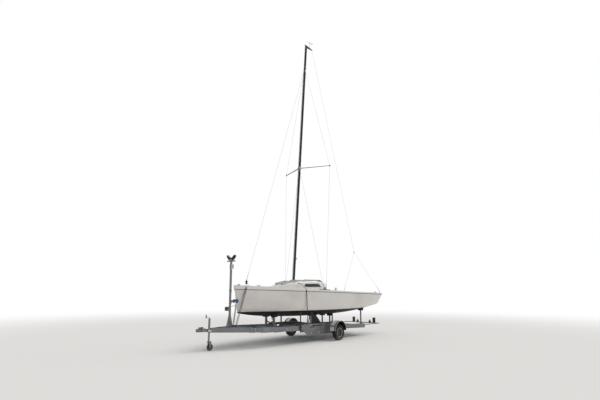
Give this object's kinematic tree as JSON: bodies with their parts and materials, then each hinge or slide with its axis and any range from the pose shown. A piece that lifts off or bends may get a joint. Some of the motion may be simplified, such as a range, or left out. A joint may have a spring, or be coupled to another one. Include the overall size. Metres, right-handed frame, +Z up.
{
  "type": "sport keelboat on a road trailer",
  "caption": "Open-transom sport keelboat with lifting bulb keel and stayed mast, resting on a single-axle road trailer with bow post, mast crutch and jockey wheel.",
  "frame": {"origin": "on the ground, at the middle of the whole object's length and width", "axes": "+X aft, +Y starboard, +Z up"},
  "size_m": [8.36, 2.486, 11.686],
  "materials": {
    "alloy": "anodised",
    "black_plastic": "moulded",
    "black_rubber": "moulded",
    "blue_rubber": "moulded",
    "dark_acrylic": "tinted acrylic",
    "deck_gelcoat": "gelcoat with matt grip areas",
    "galvanised": "dull zinc",
    "hatch_gelcoat": "satin gelcoat",
    "hull_gelcoat": "polished gelcoat over a black bottom",
    "keel_lead": "black epoxy",
    "keel_steel": "black epoxy",
    "mast_black": "black anodised",
    "mudguard_plastic": "dusty",
    "rim_steel": "silver",
    "smoked_acrylic": "translucent acrylic",
    "stay_wire": "stainless",
    "tyre": "worn",
    "vane_plastic": "moulded"
  },
  "bodies": {
    "boat_and_trailer": {"axle_beam": "galvanised", "backstay": "stay_wire", "backstay_bridle": "stay_wire", "bow_chock": "blue_rubber", "bow_post": "galvanised", "cap_shrouds_lower": "stay_wire", "cap_shrouds_upper": "stay_wire", "chainplates": "stay_wire", "coupling_head": "galvanised", "crossbeams": "galvanised", "deck": "deck_gelcoat", "drawbar": "galvanised", "drawbar_legs": "galvanised", "forehatch_hinges": "alloy", "forestay": "stay_wire", "furler_drum": "black_plastic", "gooseneck": "alloy", "gudgeons": "stay_wire", "hatch_rails": "alloy", "hull": "hull_gelcoat", "jockey_tube": "galvanised", "keel_bulb": "keel_lead", "keel_fin": "keel_steel", "keel_saddles": "black_rubber", "keel_trough": "galvanised", "keel_trunk": "deck_gelcoat", "lamps": "black_plastic", "light_bar": "galvanised", "lower_shrouds": "stay_wire", "mast": "mast_black", "mast_crutch": "galvanised", "mast_step": "alloy", "masthead_crane": "mast_black", "mudguard_stays": "galvanised", "mudguards": "mudguard_plastic", "side_plates": "galvanised", "side_rails": "galvanised", "spreaders": "mast_black", "support_pads": "black_rubber", "support_posts": "galvanised", "tracks": "black_plastic", "trailing_arms": "galvanised", "vane_staff": "alloy", "winch": "galvanised", "winches": "alloy", "windows": "dark_acrylic"},
    "wheel_port": {"hub_port": "rim_steel", "rim_port": "rim_steel", "tyre_port": "tyre"},
    "wheel_starboard": {"hub_starboard": "rim_steel", "rim_starboard": "rim_steel", "tyre_starboard": "tyre"},
    "jockey_leg": {"jockey_leg": "galvanised"},
    "jockey_fork": {"jockey_fork": "galvanised"},
    "jockey_wheel": {"jockey_wheel": "tyre"},
    "forehatch": {"forehatch_frame": "alloy", "forehatch_pane": "smoked_acrylic"},
    "companionway_hatch": {"companionway_hatch": "hatch_gelcoat"},
    "wind_vane": {"wind_vane": "vane_plastic"}
  },
  "joints": [
    {"name": "wheel_port_spin", "type": "hinge", "parent": "boat_and_trailer", "child": "wheel_port", "pos_m": [0.93, -1.125, 0.26], "axis": [0, 1, 0], "continuous": true},
    {"name": "wheel_starboard_spin", "type": "hinge", "parent": "boat_and_trailer", "child": "wheel_starboard", "pos_m": [0.93, 1.125, 0.26], "axis": [0, 1, 0], "continuous": true},
    {"name": "jockey_lift", "type": "slide", "parent": "boat_and_trailer", "child": "jockey_leg", "axis": [0, 0, 1], "range_m": [0, 0.2]},
    {"name": "jockey_swivel", "type": "hinge", "parent": "jockey_leg", "child": "jockey_fork", "pos_m": [-3.81, -0.092, 0.26], "axis": [0, 0, 1], "continuous": true},
    {"name": "jockey_wheel_spin", "type": "hinge", "parent": "jockey_fork", "child": "jockey_wheel", "pos_m": [-3.765, -0.092, 0.1], "axis": [0, 1, 0], "continuous": true},
    {"name": "forehatch_hinge", "type": "hinge", "parent": "boat_and_trailer", "child": "forehatch", "pos_m": [-0.88674, 0, 1.92363], "axis": [0, -1, 0], "range_deg": [0, 100]},
    {"name": "companionway_slide", "type": "slide", "parent": "boat_and_trailer", "child": "companionway_hatch", "axis": [-1, 0, 0], "range_m": [0, 0.4]},
    {"name": "wind_vane_spin", "type": "hinge", "parent": "boat_and_trailer", "child": "wind_vane", "pos_m": [0.7927, 0, 11.65], "axis": [0, 0, 1], "continuous": true}
  ]
}
